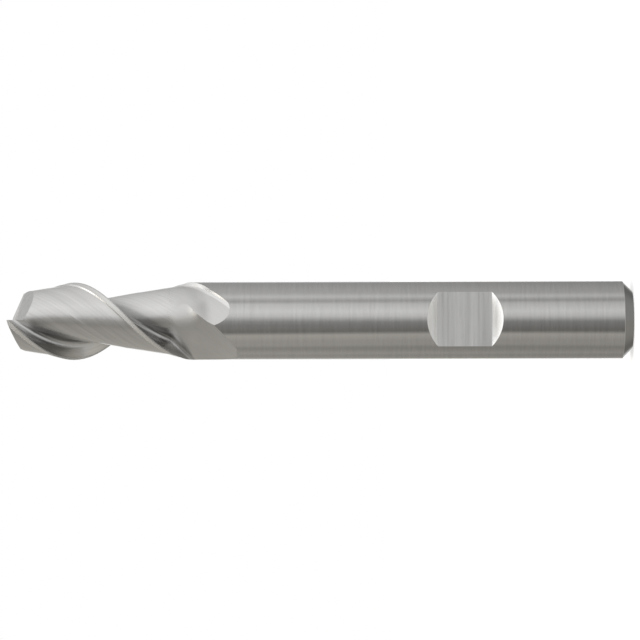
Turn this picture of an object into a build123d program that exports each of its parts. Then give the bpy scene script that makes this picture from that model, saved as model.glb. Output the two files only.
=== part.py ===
from build123d import *
import os
from math import atan2, cos, degrees, pi, radians, sin, tan

# Two-flute slot drill, one piece of ground steel.
# Frame: origin at the centre of the shank's end face, +Z along the axis
# to the cutting end, the clamping flat facing -Y.  Millimetres.

os.makedirs("parts", exist_ok=True)

# Blank
diameter = 8.0
overall_length = 64.0
cutting_length = 19.0
shank_chamfer = 1.0

# Side-lock flat on the shank
flat_height = 6.86
flat_length = 5.5
flat_centre = 17.25
flat_ramp_angle = 45.0
flat_overcut = 1.0

# Helix: a right-hand tool, so the edges turn forwards towards the tip
helix_angle = 45.4
teeth = 2
tip_angle = -86.4

# Section across a flute, as fractions of the radius and degrees.
# The edge lies on the local X axis and cuts towards local +Y.
rake_angle = 12.0
back_radius = 0.665
back_offset = 0.18
back_offset_angle = 160.0
root_radius = 0.15
flute_limit_angle = 121.0

# Land and round clearance behind the edge.  The land's plane leaves the full
# radius a little ahead of the edge, so the teeth are a hair under the shank.
# The clearance is an arc placed along its normal and square to it; it starts
# in a low wall behind the land and ends past where the flute's back takes over.
land_lead = 0.5
heel_angle = 10.1
heel_height = 0.954
clearance_normal = 39.2
clearance_height = 0.8585
clearance_round = 0.8
clearance_top = 0.144
clearance_foot = 0.431
clearance_far = -0.62
clearance_wall_angle = 15.0

# Run-out, where the wheels leave the steel.  Heights are measured up from
# the bottom of the cutting length, slopes and turns per millimetre below.
flute_out_start = 2.4
flute_flat_at = -0.6
flute_flattening = 0.8
flute_flat_depth = 0.742
flute_out_angle = 64.0
flute_out_turn = 8.2
flute_out_slope = 0.25
land_out_start = 1.4
land_out_radius = 3.0
clearance_flat_start = 1.6
clearance_flat_at = -1.85
clearance_flattening = 0.8
clearance_out_top = -0.081
clearance_out_foot = 0.3975
clearance_out_far = -0.77
clearance_out_start = -1.3
clearance_out_radius = 2.5
clearance_out_slope = 0.26
clearance_turn_stop = -1.85
clearance_turn_left = 0.28
clearance_tail = 3.2
clearance_slide = 0.48

# End teeth
end_angle = -92.4
end_edge_ahead = 0.15
dish_angle = 2.0
end_land_relief = 15.0
end_land_width = 0.6
end_clearance = 22.5
gash_start = 0.45
gash_past_centre = 0.19
gash_turn = 27.5
gash_fall_out = 25.6
gash_fall_ahead = 29.7

radius = diameter / 2
lead = pi * diameter / tan(radians(helix_angle))
turn_rate = 360 / lead
cutting_end = overall_length - cutting_length
beyond = 1.0


def edge_angle(height):
    return tip_angle + (height - overall_length) * turn_rate


def heights(bottom):
    span = overall_length + beyond - bottom
    count = round(span * turn_rate / 10)
    return [bottom + span * i / count for i in range(count + 1)]


# Each flute section is open ground ahead of one edge, less the round back
# of the other tooth.  Towards the run-out the back flattens and rises.
edge_point = Vector(radius, 0)
rake_out = Vector(cos(radians(rake_angle)), sin(radians(rake_angle)))
rake_ahead = Vector(-sin(radians(rake_angle)), cos(radians(rake_angle)))
limit = Vector(cos(radians(flute_limit_angle)), sin(radians(flute_limit_angle)))
root = root_radius * radius
back_centre = Vector(back_offset * radius, 0).rotate(Axis.Z, back_offset_angle)
flute_sections = []
flat_start = cutting_end + flute_out_start
flat_end = cutting_end + flute_flat_at
flute_bottom = flat_end - (1.03 - flute_flat_depth) * radius / flute_out_slope
for height in heights(flute_bottom):
    flatness = min(1, max(0, flat_start - height) / (flat_start - flat_end))
    past = max(0, flat_end - height)
    back = back_radius * radius / (1 - flute_flattening * flatness)
    push = Vector(1, 0).rotate(Axis.Z, flute_out_angle + flute_out_turn * past)
    full = back_centre + push * back_radius * radius
    flat = push * (flute_flat_depth * radius + flute_out_slope * past)
    centre = full * (1 - flatness) + flat * flatness - push * back
    # The root arc touches the rake face and the back
    reach = edge_point + rake_ahead * root - centre
    along = reach.dot(rake_out)
    slack = along**2 - reach.dot(reach) + (back + root) ** 2
    root_centre = centre + reach + rake_out * (slack**0.5 - along)
    root_start = root_centre - rake_ahead * root
    to_back = (centre - root_centre).normalized()
    root_end = root_centre + to_back * root
    root_middle = root_centre + (to_back - rake_ahead).normalized() * root
    # The back ends where it meets the limit line
    along = limit.dot(centre)
    slack = along**2 - centre.dot(centre) + back**2
    back_end = limit * (along + slack**0.5)
    back_middle = centre + (root_end + back_end - centre * 2).normalized() * back
    with BuildSketch() as section:
        with BuildLine():
            Line(edge_point + rake_out * 2.5 * radius, root_start)
            ThreePointArc(root_start, root_middle, root_end)
            ThreePointArc(root_end, back_middle, back_end)
            Polyline(
                back_end,
                limit * 3 * radius,
                (-radius, 3.5 * radius),
                (3 * radius, 3 * radius),
                edge_point + rake_out * 2.5 * radius,
            )
        make_face()
    turn = Location((0, 0, height), (0, 0, edge_angle(height)))
    flute_sections.append(turn * section.sketch)

# Everything outside the flat land
lead_x = radius * cos(radians(land_lead))
lead_y = radius * sin(radians(land_lead))
heel_x = radius * heel_height * cos(radians(heel_angle))
heel_y = -radius * heel_height * sin(radians(heel_angle))
land_normal = degrees(atan2(lead_x - heel_x, lead_y - heel_y))
with BuildSketch() as land_section:
    with Locations(Location((lead_x, lead_y), -land_normal)):
        Rectangle(
            2 * radius,
            2.4 * radius,
            align=(Align.MIN, Align.CENTER),
        )

land_sections = []
land_out = cutting_end + land_out_start
land_bottom = land_out - (2 * land_out_radius * 0.2 * radius) ** 0.5
for height in heights(land_bottom):
    rise = max(0, land_out - height) ** 2 / (2 * land_out_radius)
    shift = Location(
        (
            rise * cos(radians(land_normal)),
            -rise * sin(radians(land_normal)),
            0,
        )
    )
    turn = Location((0, 0, height), (0, 0, edge_angle(height)))
    land_sections.append(turn * shift * land_section.sketch)

# Everything outside the round clearance, and its side wall.  Towards the
# run-out the arc flattens, nearly stops turning and slopes out of the steel.
out = Vector(1, 0).rotate(Axis.Z, -clearance_normal)
ahead = Vector(1, 0).rotate(Axis.Z, 90 - clearance_normal)
wall = Vector(1, 0).rotate(Axis.Z, clearance_wall_angle)
clearance_sections = []
flat_from = cutting_end + clearance_flat_start
flat_to = cutting_end + clearance_flat_at
rise_start = cutting_end + clearance_out_start
rise_bend = clearance_out_radius * clearance_out_slope
turn_stop = cutting_end + clearance_turn_stop
clearance_bottom = turn_stop - clearance_tail
for height in heights(clearance_bottom):
    flatness = min(1, max(0, flat_from - height) / (flat_from - flat_to))
    past = max(0, turn_stop - height)
    bent = min(rise_bend, max(0, rise_start - height))
    straight = max(0, rise_start - height - rise_bend)
    rise = bent**2 / (2 * clearance_out_radius) + straight * clearance_out_slope
    arc = clearance_round * radius / (1 - clearance_flattening * flatness)
    top = radius * (
        clearance_top * (1 - flatness) + clearance_out_top * flatness
    )
    foot = radius * (
        clearance_foot * (1 - flatness) + clearance_out_foot * flatness
    )
    far = radius * (
        clearance_far * (1 - flatness) + clearance_out_far * flatness
    )
    centre = out * (clearance_height * radius + rise - arc) + ahead * top
    foot_ahead = foot - clearance_slide * past - top
    far_ahead = far - top
    foot_point = centre + ahead * foot_ahead + out * (arc**2 - foot_ahead**2) ** 0.5
    far_point = centre + ahead * far_ahead + out * (arc**2 - far_ahead**2) ** 0.5
    middle = centre + (foot_point + far_point - centre * 2).normalized() * arc
    with BuildSketch() as section:
        with BuildLine():
            ThreePointArc(foot_point, middle, far_point)
            Polyline(
                far_point,
                far_point + out * 2 * radius,
                foot_point + wall * radius + out * radius,
                foot_point + wall * radius,
                foot_point,
            )
        make_face()
    turned = height + past * (1 - clearance_turn_left)
    turn = Location((0, 0, height), (0, 0, edge_angle(turned)))
    clearance_sections.append(turn * section.sketch)

with BuildPart() as flute_cutter:
    loft(sections=[section.face() for section in flute_sections])
with BuildPart() as land_cutter:
    loft(sections=[section.face() for section in land_sections])
with BuildPart() as clearance_cutter:
    loft(sections=[section.face() for section in clearance_sections])

# End teeth, drawn with the end edge along local +X, cutting towards +Y
dish = tan(radians(dish_angle))
land_fall = tan(radians(end_land_relief))
clearance_fall = tan(radians(end_clearance))
with BuildSketch() as behind_edge:
    with BuildLine():
        Polyline(
            (end_edge_ahead, end_edge_ahead),
            (2 * radius, end_edge_ahead),
            (2 * radius, -2 * radius),
            (-2 * radius, -2 * radius),
            (-2 * radius, -end_edge_ahead),
            (-end_edge_ahead, -end_edge_ahead),
            close=True,
        )
    make_face()
with BuildPart() as end_land_cutter:
    add(behind_edge.sketch)
    extrude(amount=radius, both=True)
    split(
        bisect_by=Plane(
            origin=(radius, end_edge_ahead, 0),
            z_dir=(-dish, -land_fall, 1),
        ),
        keep=Keep.TOP,
    )
with BuildPart() as end_clearance_cutter:
    add(behind_edge.sketch)
    extrude(amount=radius, both=True)
    split(
        bisect_by=Plane(
            origin=(
                radius,
                end_edge_ahead - end_land_width,
                -end_land_width * land_fall,
            ),
            z_dir=(-dish, -clearance_fall, 1),
        ),
        keep=Keep.TOP,
    )
gash_reach = 2 * radius
gash_back = gash_reach * tan(radians(gash_turn))
with BuildPart() as gash_cutter:
    with BuildSketch():
        with BuildLine():
            Polyline(
                (-gash_past_centre, end_edge_ahead),
                (2 * radius, end_edge_ahead),
                (2 * radius, end_edge_ahead + gash_reach),
                (-gash_past_centre - gash_back, end_edge_ahead + gash_reach),
                close=True,
            )
        make_face()
    extrude(amount=2 * radius, both=True)
    split(
        bisect_by=Plane(
            origin=(0, 0, -gash_start),
            z_dir=(tan(radians(gash_fall_out)), tan(radians(gash_fall_ahead)), 1),
        ),
        keep=Keep.TOP,
    )

# Clamping flat, a trapezoid cut with a ramp at each end
flat_depth = diameter - flat_height
flat_half = flat_length / 2
ramp_run = (flat_depth + flat_overcut) / tan(radians(flat_ramp_angle))
with BuildPart() as flat_cutter:
    with BuildSketch(Plane.YZ):
        with BuildLine():
            Polyline(
                (flat_depth - radius, flat_centre - flat_half),
                (-radius - flat_overcut, flat_centre - flat_half - ramp_run),
                (-radius - flat_overcut, flat_centre + flat_half + ramp_run),
                (flat_depth - radius, flat_centre + flat_half),
                close=True,
            )
        make_face()
    extrude(amount=radius, both=True)

with BuildPart() as end_mill:
    Cylinder(
        radius,
        overall_length,
        rotation=(0, 0, 90),
        align=(Align.CENTER, Align.CENTER, Align.MIN),
    )
    chamfer(end_mill.edges().sort_by(Axis.Z)[0], shank_chamfer)
    add(flat_cutter.part, mode=Mode.SUBTRACT)
    with PolarLocations(0, teeth):
        add(flute_cutter.part, mode=Mode.SUBTRACT)
    with PolarLocations(0, teeth):
        add(clearance_cutter.part, mode=Mode.SUBTRACT)
    with PolarLocations(0, teeth):
        add(land_cutter.part, mode=Mode.SUBTRACT)
    with Locations((0, 0, overall_length)):
        with PolarLocations(0, teeth, start_angle=end_angle):
            add(end_land_cutter.part, mode=Mode.SUBTRACT)
    with Locations((0, 0, overall_length)):
        with PolarLocations(0, teeth, start_angle=end_angle):
            add(end_clearance_cutter.part, mode=Mode.SUBTRACT)
    with Locations((0, 0, overall_length)):
        with PolarLocations(0, teeth, start_angle=end_angle):
            add(gash_cutter.part, mode=Mode.SUBTRACT)

end_mill.part.label = "two-flute slot drill"
export_step(end_mill.part, "parts/end_mill.step")
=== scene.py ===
import math

import bpy
from mathutils import Matrix, Vector

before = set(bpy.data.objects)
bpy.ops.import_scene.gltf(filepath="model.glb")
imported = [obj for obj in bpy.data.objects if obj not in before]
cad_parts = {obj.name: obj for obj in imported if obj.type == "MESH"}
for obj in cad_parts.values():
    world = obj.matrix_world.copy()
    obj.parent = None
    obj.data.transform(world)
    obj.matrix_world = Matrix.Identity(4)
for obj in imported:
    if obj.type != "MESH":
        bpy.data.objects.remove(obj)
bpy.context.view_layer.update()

# The tool: one bar of high-speed steel, hardened and ground all over.  The
# shank is ground round, which leaves fine rings, and the flat is ground
# across.  The flutes are ground lengthwise, so their marks follow the helix.
steel = bpy.data.materials.new("ground_steel")
steel.use_nodes = True
steel_nodes = steel.node_tree.nodes
steel_links = steel.node_tree.links
shader = steel_nodes["Principled BSDF"]
shader.inputs["Metallic"].default_value = 1
shader.inputs["Anisotropic"].default_value = 0.5
shader.inputs["Anisotropic Rotation"].default_value = 0.25


def node_tools(tree):
    """Short calls that add Math, Map Range and Mix nodes to one node tree."""

    def feed(socket, value):
        if isinstance(value, (int, float)):
            socket.default_value = value
        elif value is not None:
            tree.links.new(value, socket)

    def calc(operation, first, second=None, third=None):
        node = tree.nodes.new("ShaderNodeMath")
        node.operation = operation
        for socket, value in zip(node.inputs, (first, second, third)):
            feed(socket, value)
        return node.outputs[0]

    def step(value, low, high, at_low=0.0, at_high=1.0):
        node = tree.nodes.new("ShaderNodeMapRange")
        node.interpolation_type = "SMOOTHSTEP"
        names = ("Value", "From Min", "From Max", "To Min", "To Max")
        for name, number in zip(names, (value, low, high, at_low, at_high)):
            feed(node.inputs[name], number)
        return node.outputs[0]

    def mix(factor, first, second):
        node = tree.nodes.new("ShaderNodeMix")
        for name, value in (("Factor", factor), ("A", first), ("B", second)):
            feed(node.inputs[name], value)
        return node.outputs["Result"]

    return calc, step, mix


steel_math, steel_step, steel_mix = node_tools(steel.node_tree)


def steel_all(first, *others):
    """The area that several areas share."""
    for area in others:
        first = steel_math("MULTIPLY", first, area)
    return first


def steel_sum(plain, *shares):
    """A start value, with each area's amount added where the area is."""
    for area, amount in shares:
        plain = steel_math("MULTIPLY_ADD", area, amount, plain)
    return plain


def steel_marks(x, y, z, scale, detail, roughness=0.5):
    """Grinding marks are noise on stretched coordinates."""
    place = steel_nodes.new("ShaderNodeCombineXYZ")
    for socket, value in zip(place.inputs, (x, y, z)):
        steel_links.new(value, socket)
    noise = steel_nodes.new("ShaderNodeTexNoise")
    steel_links.new(place.outputs[0], noise.inputs["Vector"])
    noise.inputs["Scale"].default_value = scale
    noise.inputs["Detail"].default_value = detail
    noise.inputs["Roughness"].default_value = roughness
    return noise.outputs["Fac"]


where = steel_nodes.new("ShaderNodeTexCoord")
place_parts = steel_nodes.new("ShaderNodeSeparateXYZ")
steel_links.new(where.outputs["Object"], place_parts.inputs[0])
across, deep, along = place_parts.outputs
out_from_axis = steel_math(
    "SQRT",
    steel_math(
        "ADD",
        steel_math("MULTIPLY", across, across),
        steel_math("MULTIPLY", deep, deep),
    ),
)

# Where the ground flutes are: above the shank's smooth round, inside it
radius = 0.004
length = 0.064
flute_from = 0.0405
inside_round = steel_step(
    out_from_axis, radius - 0.00003, radius - 0.00001, 1.0, 0.0
)
fluted = steel_all(
    steel_step(along, flute_from, flute_from + 0.0002), inside_round
)

# Marks along the helix: the section is turned back to where it was at the
# tip, so that a mark keeps its place in it from one height to the next.
# One cutting edge then lies on the X axis and the other across from it.
helix_angle = math.radians(45.4)
edge_at_tip = math.radians(-86.4)
turns_per_length = math.tan(helix_angle) / radius
wound = steel_math(
    "MULTIPLY_ADD", along, turns_per_length, edge_at_tip - turns_per_length * length
)
wound_cos = steel_math("COSINE", wound)
wound_sin = steel_math("SINE", wound)
unwound_x = steel_math(
    "ADD",
    steel_math("MULTIPLY", across, wound_cos),
    steel_math("MULTIPLY", deep, wound_sin),
)
unwound_y = steel_math(
    "SUBTRACT",
    steel_math("MULTIPLY", deep, wound_cos),
    steel_math("MULTIPLY", across, wound_sin),
)
stretched_along = steel_math("MULTIPLY", along, 0.05)
helix_marks = steel_marks(unwound_x, unwound_y, stretched_along, 4400, 1)
helix_streaks = steel_marks(unwound_x, unwound_y, stretched_along, 1300, 1)

# Rings round the shank, and the same marks straight across the flat.  On the
# turned chamfer and the end face below it, they run round the middle.
chamfer = 0.001
turned_end = steel_step(along, chamfer - 0.00006, chamfer, 1.0, 0.0)
ring_place = steel_math("MULTIPLY_ADD", out_from_axis, turned_end, along)
ring_marks = steel_marks(
    steel_math("MULTIPLY", across, 0.08),
    steel_math("MULTIPLY", deep, 0.08),
    ring_place,
    4200,
    2,
    0.7,
)
ring_streaks = steel_marks(
    steel_math("MULTIPLY", across, 0.04),
    steel_math("MULTIPLY", deep, 0.04),
    ring_place,
    2200,
    2,
)
fine_marks = steel_mix(fluted, ring_marks, helix_marks)
broad_streaks = steel_mix(fluted, ring_streaks, helix_streaks)

# The clamping flat is cut into the shank's round, and two ramps lead down
# to it.  They lie further out than the flat's plane.
flat_low = 0.0100
flat_high = 0.0240
flat_plane = -0.00286
on_flat = steel_all(
    inside_round,
    steel_step(along, flat_low, flat_low + 0.0002),
    steel_step(along, flat_high, flat_high + 0.0002, 1.0, 0.0),
)
# The ramps are painted lighter in the steel's grey below: painted light where they
# catch it
on_ramp = steel_all(
    on_flat, steel_step(deep, flat_plane - 0.00008, flat_plane - 0.00004, 1.0, 0.0)
)

# The rake face stands under each cutting edge, 12 degrees off the radius.
# It is found by the distance from its line through the edge.
rake_slope = math.tan(math.radians(12))
from_axis = steel_math("ABSOLUTE", unwound_x)
ahead = steel_math("MULTIPLY", unwound_y, steel_math("SIGN", unwound_x))
off_rake = steel_math(
    "ADD",
    ahead,
    steel_math("MULTIPLY_ADD", from_axis, -rake_slope, radius * rake_slope),
)
rake_side = steel_all(
    fluted,
    steel_step(off_rake, -0.00016, -0.00006),
    steel_step(off_rake, 0.00015, 0.0007, 1.0, 0.0),
    steel_step(from_axis, 0.0014, 0.0018),
)

# Behind each edge is a narrow land, and the flutes run out into the shank.
# Both come off the wheel matt, apart from the steep wall at a flute's end.
land_width = 0.00074
run_out = steel_all(fluted, steel_step(along, 0.0462, 0.0482, 1.0, 0.0))
# The lands are painted lighter in the steel's grey below: painted light, a light
# strip along each edge
on_land = steel_all(
    steel_math("SUBTRACT", fluted, run_out),
    steel_step(out_from_axis, 0.00378, 0.00382),
    steel_step(ahead, -land_width, 0.00004 - land_width),
    steel_step(ahead, 0.0, 0.00005, 1.0, 0.0),
)
# The end wall is painted lighter in the steel's grey below: a painted highlight
# where the wall catches light
end_wall = steel_all(
    run_out,
    steel_step(out_from_axis, 0.0034, 0.0036),
    steel_step(ahead, -0.0013, -0.0011),
    steel_step(ahead, -0.0004, -0.0003, 1.0, 0.0),
)

# Painted shade on the rake faces and in the flutes' roots, up to the gash that
# is ground into the end; the painted shade is darkest in a line along the core
below_gash = steel_step(along, 0.0612, 0.0622, 1.0, 0.0)
painted_root_shade = steel_math(
    "MAXIMUM",
    steel_math("MULTIPLY", rake_side, 0.65),
    steel_all(below_gash, steel_step(out_from_axis, 0.0020, 0.0024, 1.0, 0.0)),
)
painted_core_shade_line = steel_all(
    below_gash, steel_step(out_from_axis, 0.00204, 0.00218, 1.0, 0.0)
)

# The steel's grey: a level for each area, and the marks and streaks on it.
# The end wall, the lands and the ramps are painted lighter, as painted light.
# The rake faces and the roots get painted shade, and the turned chamfer and
# end face are painted darker.
tone = steel_sum(
    0.634,
    (end_wall, 0.21),
    (on_land, 0.184),
    (fluted, 0.152),
    (on_flat, 0.145),
    (on_ramp, 0.17),
)
mark_depth = steel_sum(0.125, (run_out, -0.125), (fluted, 0.07))
streak_depth = steel_sum(
    0.045, (run_out, -0.09), (fluted, 0.09), (on_flat, 0.375), (rake_side, 0.31)
)
for depth, pattern in ((mark_depth, fine_marks), (streak_depth, broad_streaks)):
    tone = steel_sum(tone, (steel_math("SUBTRACT", pattern, 0.5), depth))
# Painted shade darkens the rake faces, the roots and the core line; the turned
# chamfer and end face are painted darker
for area, loss in ((painted_root_shade, 0.42), (painted_core_shade_line, 0.3), (turned_end, 0.55)):
    tone = steel_all(tone, steel_sum(1.0, (area, -loss)))
grey = steel_nodes.new("ShaderNodeCombineColor")
for name, tint in (("Red", 1), ("Green", 0.993), ("Blue", 0.975)):
    steel_links.new(steel_math("MULTIPLY", tone, tint), grey.inputs[name])
steel_links.new(grey.outputs[0], shader.inputs["Base Color"])

# The flutes come off a coarser wheel than the shank.  The marks stand up a
# little, and the flat and its ramps are true planes.
matt = steel_sum(
    0.12,
    (end_wall, -0.09),
    (run_out, 0.16),
    (on_land, 0.45),
    (fluted, 0.04),
    (fine_marks, 0.10),
)
steel_links.new(matt, shader.inputs["Roughness"])
relief = steel_nodes.new("ShaderNodeBump")
relief.inputs["Strength"].default_value = 0.25
relief.inputs["Distance"].default_value = 0.00001
steel_links.new(fine_marks, relief.inputs["Height"])
steel_links.new(relief.outputs[0], shader.inputs["Normal"])
shape = steel_nodes.new("ShaderNodeNewGeometry")
plane_or_round = steel_nodes.new("ShaderNodeMix")
plane_or_round.data_type = "VECTOR"
steel_links.new(on_flat, plane_or_round.inputs["Factor"])
steel_links.new(shape.outputs["Normal"], plane_or_round.inputs[4])
steel_links.new(shape.outputs["True Normal"], plane_or_round.inputs[5])
steel_links.new(plane_or_round.outputs[1], relief.inputs["Normal"])
round_tangent = steel_nodes.new("ShaderNodeTangent")
round_tangent.direction_type = "RADIAL"
round_tangent.axis = "Z"
steel_links.new(round_tangent.outputs[0], shader.inputs["Tangent"])

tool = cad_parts["end_mill"]
tool.data.materials.clear()
tool.data.materials.append(steel)

# The stand: a plain pale table top.  The tool stands on its shank's end.
# Mirror rays pass through the table, and so does a look from below.  It lies
# a hair under the tool, so that no two faces share a plane.
reach = 2
drop = 0.00001
corners = [(-reach, -reach), (reach, -reach), (reach, reach), (-reach, reach)]
floor_mesh = bpy.data.meshes.new("floor")
floor_mesh.from_pydata([(x, y, -drop) for x, y in corners], [], [(0, 1, 2, 3)])
floor = bpy.data.objects.new("floor", floor_mesh)
bpy.context.scene.collection.objects.link(floor)
pale = bpy.data.materials.new("pale_table")
pale.use_nodes = True
pale_nodes = pale.node_tree.nodes
pale_links = pale.node_tree.links
pale_shader = pale_nodes["Principled BSDF"]
pale_shader.inputs["Base Color"].default_value = (0.85, 0.85, 0.85, 1)
pale_shader.inputs["Roughness"].default_value = 1
pale_shader.inputs["Specular IOR Level"].default_value = 0
pale_shader.inputs["Emission Color"].default_value = (1, 1, 1, 1)
seen = pale_nodes.new("ShaderNodeLightPath")
pale_math = node_tools(pale.node_tree)[0]
glow = pale_math("MULTIPLY", seen.outputs["Is Camera Ray"], 0.60)
pale_links.new(glow, pale_shader.inputs["Emission Strength"])
underside = pale_nodes.new("ShaderNodeNewGeometry")
clear = pale_nodes.new("ShaderNodeBsdfTransparent")
one_sided = pale_nodes.new("ShaderNodeMixShader")
pale_links.new(underside.outputs["Backfacing"], one_sided.inputs[0])
pale_links.new(pale_shader.outputs[0], one_sided.inputs[1])
pale_links.new(clear.outputs[0], one_sided.inputs[2])
pale_links.new(
    one_sided.outputs[0], pale_nodes["Material Output"].inputs["Surface"]
)
floor_mesh.materials.append(pale)
floor.visible_glossy = False

# The room: strip lights stand round the tool, and each shows as a long
# band of light on the steel.  Behind the tool hangs a white backdrop.
room = bpy.data.worlds.new("room")
bpy.context.scene.world = room
room.use_nodes = True
room_nodes = room.node_tree.nodes
room_links = room.node_tree.links
room_nodes.clear()
room_math, room_step, room_mix = node_tools(room.node_tree)


def room_ramp(angle, levels):
    """Levels of light round the tool, by degrees from the camera's side."""
    ramp = room_nodes.new("ShaderNodeValToRGB")
    share = room_math("MULTIPLY_ADD", angle, 0.5 / math.pi, 0.5)
    room_links.new(share, ramp.inputs[0])
    stops = ramp.color_ramp.elements
    ends = zip((stops[0], stops[1]), (levels[0], levels[-1]))
    for stop, (degrees, level) in ends:
        stop.position = (degrees + 180) / 360
        stop.color = (level, level, level, 1)
    for degrees, level in levels[1:-1]:
        stop = stops.new((degrees + 180) / 360)
        stop.color = (level, level, level, 1)
    return ramp.outputs[0]


direction = room_nodes.new("ShaderNodeTexCoord")
parts = room_nodes.new("ShaderNodeSeparateXYZ")
room_links.new(direction.outputs["Generated"], parts.inputs[0])
side, away, height = parts.outputs
turn = room_math("ARCTAN2", side, room_math("MULTIPLY", away, -1))

# Strips stand at 25, 75 and -45 degrees round the tool from the camera, with
# dark gaps at 60 and -35 and thin ones at -90 and -130
bands = room_ramp(
    turn,
    [
        (-180, 0.50),
        (-130, 0.40),
        (-115, 0.48),
        (-92, 0.36),
        (-80, 0.48),
        (-65, 0.48),
        (-45, 0.60),
        (-35, 0.22),
        (-6, 0.33),
        (10, 0.84),
        (25, 1.00),
        (50, 0.78),
        (60, 0.48),
        (75, 0.82),
        (90, 0.60),
        (145, 0.42),
        (180, 0.42),
    ],
)

# Above the strips the light is broader, and its edges lean over with height.
# It is strongest straight above, on one side, and weaker straight below.
leaning = room_step(height, 0.45, 0.95, 0.0, math.radians(35))
broad = room_ramp(
    room_math("ADD", turn, leaning),
    [
        (-180, 0.46),
        (-60, 0.34),
        (-40, 0.28),
        (-20, 0.36),
        (0, 0.78),
        (30, 0.88),
        (100, 0.72),
        (180, 0.46),
    ],
)
level = room_mix(room_step(height, 0.04, 0.2), bands, broad)
level = room_math("MULTIPLY", level, room_step(height, -0.12, 0.08, 0.74, 0.963))
overhead = room_step(side, -0.2, 0.2, 2.1, 0.84)
level = room_mix(room_step(height, 0.87, 0.96), level, overhead)
underneath = 0.64
level = room_mix(room_step(height, -0.95, -0.6, 1.0, 0.0), level, underneath)

# The light from below is a little warmer than the strips
warmth = room_nodes.new("ShaderNodeMix")
warmth.data_type = "RGBA"
room_links.new(room_step(turn, math.radians(-50), 0.0), warmth.inputs["Factor"])
warmth.inputs[6].default_value = (1, 0.965, 0.90, 1)
warmth.inputs[7].default_value = (1, 1, 1, 1)
lit = room_nodes.new("ShaderNodeBackground")
room_links.new(warmth.outputs[2], lit.inputs["Color"])
room_links.new(level, lit.inputs["Strength"])

# The picture's background is white, and the steel mirrors it where the
# backdrop hangs
white = room_nodes.new("ShaderNodeBackground")
white.inputs["Color"].default_value = (1, 1, 1, 1)
path = room_nodes.new("ShaderNodeLightPath")
mirror_rays = room_math(
    "ADD", path.outputs["Is Glossy Ray"], path.outputs["Is Transmission Ray"]
)
behind = room_step(
    room_math("ABSOLUTE", turn), math.radians(155), math.radians(168)
)
not_too_high = room_step(room_math("ABSOLUTE", height), 0.3, 0.6, 1.0, 0.0)
backdrop = room_math("MULTIPLY", behind, not_too_high)
shows_white = room_math(
    "MAXIMUM",
    path.outputs["Is Camera Ray"],
    room_math("MULTIPLY", backdrop, mirror_rays),
)
either = room_nodes.new("ShaderNodeMixShader")
room_links.new(shows_white, either.inputs[0])
room_links.new(lit.outputs[0], either.inputs[1])
room_links.new(white.outputs[0], either.inputs[2])
room_out = room_nodes.new("ShaderNodeOutputWorld")
room_links.new(either.outputs[0], room_out.inputs["Surface"])

# The camera lies on its side, so that the standing tool lies across the
# picture with its cutting end to the left.
distance = 0.340
target = Vector((0.000062, 0, 0.032077))
azimuth = math.radians(-92.4)
nearer = math.radians(0.5)
tipped = math.radians(0.152)
place = target + distance * Vector(
    (
        math.cos(nearer) * math.cos(azimuth),
        math.cos(nearer) * math.sin(azimuth),
        -math.sin(nearer),
    )
)
back = (place - target).normalized()
up = Vector((-math.sin(azimuth), math.cos(azimuth), 0))
right = up.cross(back).normalized()
up = back.cross(right)
up, right = (
    up * math.cos(tipped) + right * math.sin(tipped),
    right * math.cos(tipped) - up * math.sin(tipped),
)
picture_width = 640
pixels_per_metre = 9711
lens = bpy.data.cameras.new("camera")
lens.sensor_width = 36
lens.lens = lens.sensor_width * distance * pixels_per_metre / picture_width
lens.clip_start = 0.01
camera = bpy.data.objects.new("camera", lens)
camera.matrix_world = Matrix(
    (
        (right.x, up.x, back.x, place.x),
        (right.y, up.y, back.y, place.y),
        (right.z, up.z, back.z, place.z),
        (0, 0, 0, 1),
    )
)
bpy.context.scene.collection.objects.link(camera)
bpy.context.scene.camera = camera
bpy.context.scene.view_settings.view_transform = "Standard"
